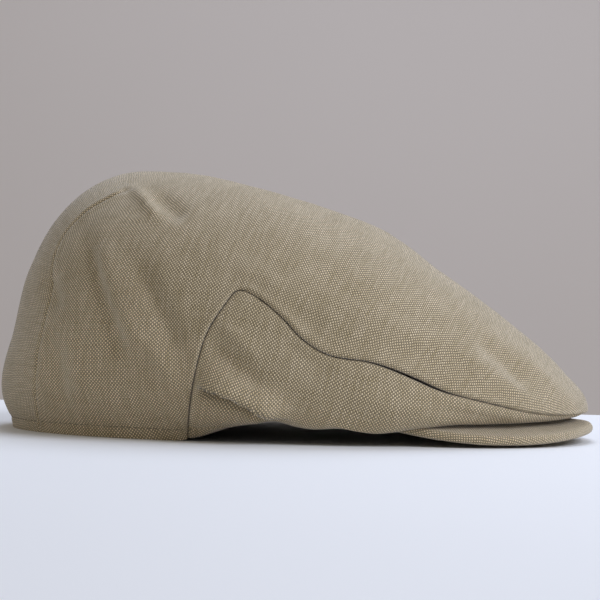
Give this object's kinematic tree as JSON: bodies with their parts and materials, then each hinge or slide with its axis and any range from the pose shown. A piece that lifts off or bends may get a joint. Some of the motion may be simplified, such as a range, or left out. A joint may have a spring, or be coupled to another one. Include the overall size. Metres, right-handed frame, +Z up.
{
  "type": "flat cap",
  "caption": "Linen flat cap: one-piece top panel with back darts, two side panels, stiffened brim, lining and sweatband.",
  "frame": {"origin": "on the surface that the cap rests on, below the middle of the whole cap", "axes": "+X forward to the brim, +Y to the wearer's left, +Z up"},
  "size_m": [0.28, 0.192, 0.1222],
  "materials": {
    "linen_crown": "plain-woven linen with a slubby thread, light taupe",
    "linen_brim": "the same linen, stretched smooth over the board",
    "lining": "smooth cotton lining",
    "sweatband": "grosgrain band",
    "brim_board": "moulded polyethylene board"
  },
  "bodies": {
    "root": {"top_panel": "linen_crown", "side_panel_right": "linen_crown", "side_panel_left": "linen_crown", "lining_top": "lining", "lining_side_right": "lining", "lining_side_left": "lining", "sweatband": "sweatband", "brim_board": "brim_board", "brim_top_cover": "linen_brim", "brim_under_cover": "linen_brim"}
  },
  "joints": []
}
